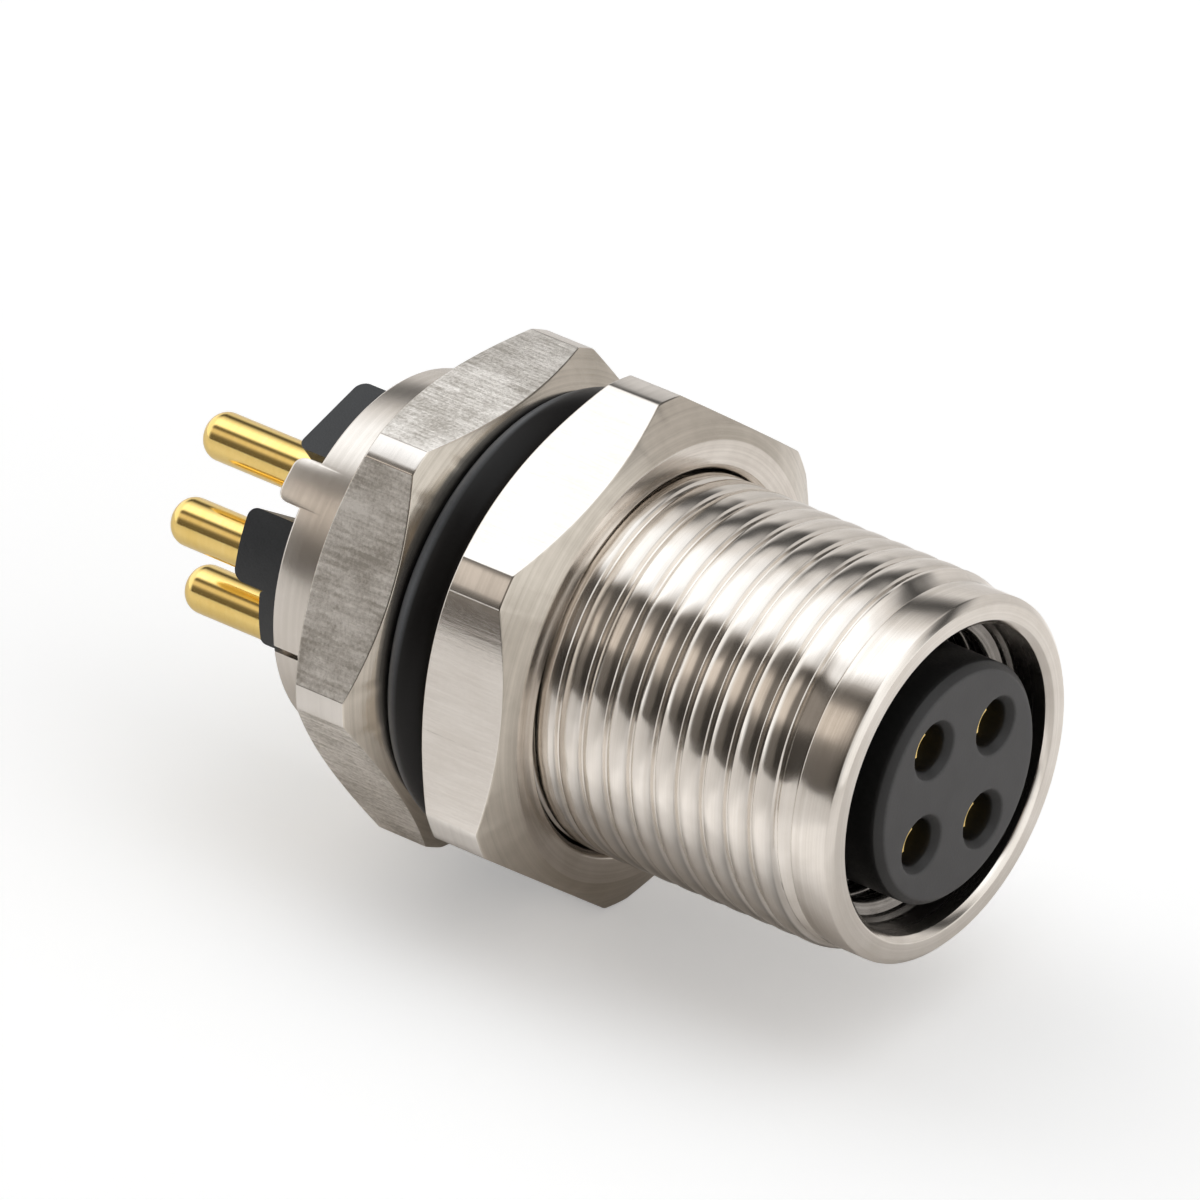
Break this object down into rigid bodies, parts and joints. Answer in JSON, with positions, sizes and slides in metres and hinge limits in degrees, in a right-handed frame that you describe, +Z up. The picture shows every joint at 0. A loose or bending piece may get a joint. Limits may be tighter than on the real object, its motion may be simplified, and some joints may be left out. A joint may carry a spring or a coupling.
{
  "type": "panel receptacle",
  "caption": "Round threaded panel receptacle with a hexagonal flange, lock nut, sealing ring, socket insert and gold-plated rear pins.",
  "frame": {"origin": "centre of the flange's front face, the plane that seats behind the panel", "axes": "+X along the receptacle's axis towards the mating mouth, +Z up, +Y to the right seen from the mouth"},
  "size_m": [0.0344, 0.0202, 0.0212],
  "materials": {
    "nickel": "nickel plated, satin turned",
    "ring_rubber": "satin",
    "insert_plastic": "moulded matte",
    "rear_plastic": "moulded matte",
    "gold": "gold plated, polished"
  },
  "bodies": {
    "receptacle": {"shell": "nickel", "panel_o_ring": "ring_rubber", "contact_insert": "insert_plastic", "rear_insulator": "rear_plastic", "contact_1": "gold", "contact_2": "gold", "contact_3": "gold", "contact_4": "gold"},
    "nut": {"lock_nut": "nickel"}
  },
  "joints": [
    {"name": "nut_slide", "type": "slide", "parent": "receptacle", "child": "nut", "axis": [1, 0, 0], "range_m": [0, 0.022]}
  ]
}
